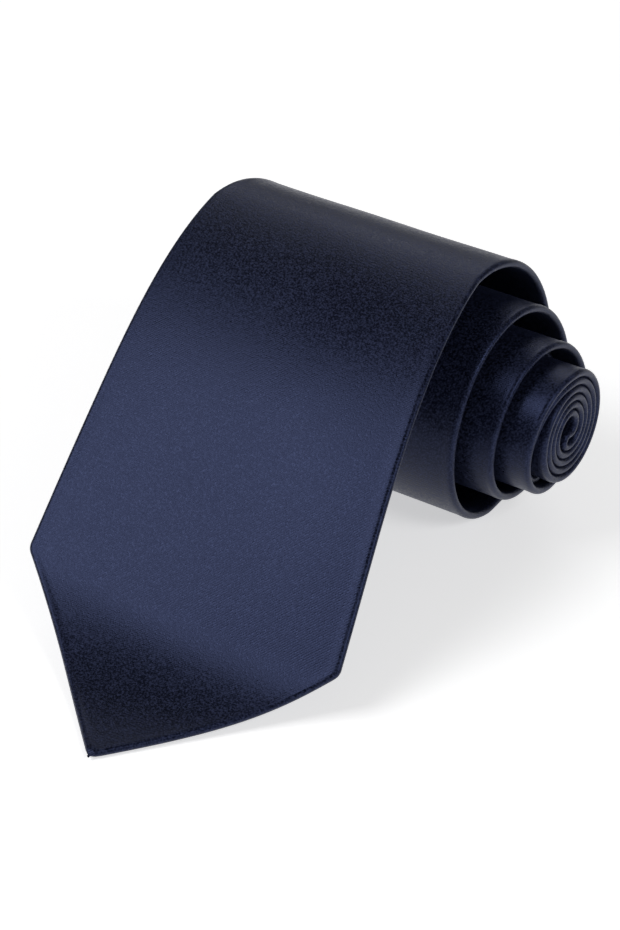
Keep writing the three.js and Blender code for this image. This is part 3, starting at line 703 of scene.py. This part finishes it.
# ---------------------------------------------------------------- keeper and labels
def band(name, start, long, wide, thick, lift):
    """A flat band across the back: a slab whose rim is rounded, and which stands lift(u) off the back.

    label_place keeps where each point is on it, from -1 to 1 each way."""
    across = np.sin(np.linspace(-90, 90, 44) * math.pi / 180)
    s = start + long * (0.5 + 0.5 * np.sin(np.linspace(-90, 90, 16) * math.pi / 180))
    rim = np.sqrt(np.maximum(1 - across ** 16, 0.12))
    u = np.concatenate([-across, across]) * wide / 2
    half = thick / 2 * np.concatenate([rim, -rim])
    u = np.repeat(u[None], len(s), 0)
    along = np.repeat(s[:, None], u.shape[1], 1)
    n = BACK - PROUD - thick / 2 - lift(u) + half
    flat = np.stack([u, along, n], -1)
    made = mesh_piece(name, placed(along, u, n), ring_quads(len(s), u.shape[1]), flat)
    spot = made.data.attributes.new("label_place", "FLOAT_VECTOR", "POINT")
    place = np.stack([u / (wide / 2), (along - start) / long * 2 - 1, 0 * u], -1)
    spot.data.foreach_set("vector", place.astype(np.float32).ravel())
    return made


KEEPER_LONG, KEEPER_WIDE, KEEPER_SAG, KEEPER_SEWN = 11, 50, 3, 5
KEEPER_FROM = S_LEAVE - 2 - KEEPER_LONG
LABEL_FROM, LABEL_LONG, LABEL_WIDE = S_LEAVE + 8, 22, 46
CARE_FROM, CARE_LONG, CARE_WIDE = LENGTH - 148, 18, 14
KEEPER_THICK, LABEL_THICK, CARE_THICK = 0.6, 0.35, 0.22
TRIM_PITCH, TRIM_LONG, TRIM_IN = 2.2, 1.6, 1.5  # of the stitches along a trim's end, and how far in they run


def keeper_hang(u):
    """Flat at its sewn ends, and hanging between them along a rounded cosine arch."""
    free_half = KEEPER_WIDE / 2 - KEEPER_SEWN
    return KEEPER_SAG * np.cos(np.clip(np.abs(u) / free_half, 0, 1) * math.pi / 2) ** 1.2


def flat_on_back(u):
    """A label's lift: none."""
    return 0 * u


def end_stitches(name, start, end, u, thick):
    """The stitches that hold one end of a trim, on top of its thickness."""
    s = np.arange(start, end, TRIM_PITCH)
    return stitches(name, s, u, BACK - PROUD - thick - 0.02, TRIM_LONG, 0.0, thick=TRIM_THREAD, sink=-0.1)


keeper = band("keeper_band", KEEPER_FROM, KEEPER_LONG, KEEPER_WIDE, KEEPER_THICK, keeper_hang)
finish_piece(keeper, SATIN_CLOTH, "satin", "roll", "keeper_loop")
maker_label = band("maker_label_cloth", LABEL_FROM, LABEL_LONG, LABEL_WIDE, LABEL_THICK, flat_on_back)
finish_piece(maker_label, MAKER_CLOTH, "maker_label", "roll", "maker_label")
care_label = band("care_label_tape", CARE_FROM, CARE_LONG, CARE_WIDE, CARE_THICK, flat_on_back)
finish_piece(care_label, CARE_CLOTH, "care_label", "roll", "care_label")
for side, word in SIDES:
    label_row = end_stitches("label_stitches_" + word, LABEL_FROM + 2, LABEL_FROM + LABEL_LONG - 1.5,
                             side * (LABEL_WIDE / 2 - TRIM_IN), LABEL_THICK)
    sew(label_row, "roll", "label_stitch_" + word)
    keeper_row = end_stitches("keeper_stitches_" + word, KEEPER_FROM + 1.6, KEEPER_FROM + KEEPER_LONG - 1,
                              side * (KEEPER_WIDE / 2 - TRIM_IN), KEEPER_THICK)
    sew(keeper_row, "roll", "keeper_stitch_" + word)


# ---------------------------------------------------------------- what each sheet of cloth was cut to
def flat_cut(start, end, layers):
    """A stretch of cloth as it is cut: its area, width and length, in metres.

    Cloth in one layer is as wide as the tie. Cloth in two is folded in at both sides, by its hems behind the
    blade's opening, and by the tie's whole width past it."""
    s = np.linspace(max(start, 0), min(end, LENGTH), 400)
    wide = 2 * half_width(s)
    hems = 2 * np.minimum(wide / 2 - flap_edge(s), wide / 2)
    cut = wide + np.where(s < BLADE_OPENING, hems, wide) if layers == 2 else wide
    area = float((cut[1:] + cut[:-1]).sum() / 2 * (s[1] - s[0]))
    return area / 1e6, float(cut.max()) / 1000, float(end - start) / 1000


def declare(start, end, layers):
    """Works out the area, width and length a panel, ply or lining from start to end was cut to, and does
    nothing with them.
    """
    area, width, length = flat_cut(start, end, layers)


declare(0, NECK_START, 2)
declare(NECK_START, NECK_END, 2)
declare(NECK_END, LENGTH, 2)
declare(INSIDE_START, WOOL_JOIN, 1)
declare(WOOL_JOIN, INSIDE_END, 1)
declare(INSIDE_START, LINING_END, 1)
declare(LINING_START, INSIDE_END, 1)

# ---------------------------------------------------------------- floor, light and camera, in metres
TABLE_SIZE, TABLE_BELOW = 6, 0.0002  # the table lies a hair below the tie, so that the two never meet
bpy.ops.mesh.primitive_plane_add(size=TABLE_SIZE, location=(0, 0, -TABLE_BELOW))
floor = bpy.context.object
floor.name = "table"
floor.data.materials.append(table_top())


def studio_light(name, place, aim, size, watts):
    """A square soft box at place, turned to aim."""
    data = bpy.data.lights.new(name, "AREA")
    data.shape, data.size, data.energy = "SQUARE", size, watts
    lamp = bpy.data.objects.new(name, data)
    bpy.context.scene.collection.objects.link(lamp)
    lamp.location = place
    lamp.rotation_mode = "QUATERNION"
    lamp.rotation_quaternion = (Vector(aim) - Vector(place)).to_track_quat("-Z", "Y")


studio_light("front_softbox", (-0.56, -0.54, 0.92), (0, -0.01, 0.03), 0.65, 7.0)
studio_light("back_softbox", (-0.42, 0.95, 0.76), (0, -0.02, 0.02), 0.60, 1.6)
studio_light("right_softbox", (1.05, -0.18, 0.78), (0, 0.03, 0.03), 0.45, 4.6)

ROOM_LIGHT = 0.10
world = bpy.data.worlds.new("studio")
world.use_nodes = True
world.node_tree.nodes["Background"].inputs["Color"].default_value = (1, 1, 1, 1)
world.node_tree.nodes["Background"].inputs["Strength"].default_value = ROOM_LIGHT
bpy.context.scene.world = world
bpy.context.scene.view_settings.view_transform = "Standard"

CAMERA_AZIMUTH, CAMERA_ELEVATION, CAMERA_DISTANCE = math.radians(33.67), math.radians(33.77), 0.8011
CAMERA_AIM = Vector((0.00118, 0.01334, 0.02487))
camera_data = bpy.data.cameras.new("camera")
camera_data.lens, camera_data.sensor_width, camera_data.clip_end = 123.5, 36, 20
camera = bpy.data.objects.new("camera", camera_data)
bpy.context.scene.collection.objects.link(camera)
to_camera = Vector((math.sin(CAMERA_AZIMUTH) * math.cos(CAMERA_ELEVATION),
                    -math.cos(CAMERA_AZIMUTH) * math.cos(CAMERA_ELEVATION), math.sin(CAMERA_ELEVATION)))
camera.location = CAMERA_AIM + to_camera * CAMERA_DISTANCE
camera.rotation_mode = "QUATERNION"
camera.rotation_quaternion = (-to_camera).to_track_quat("-Z", "Y")
bpy.context.scene.camera = camera
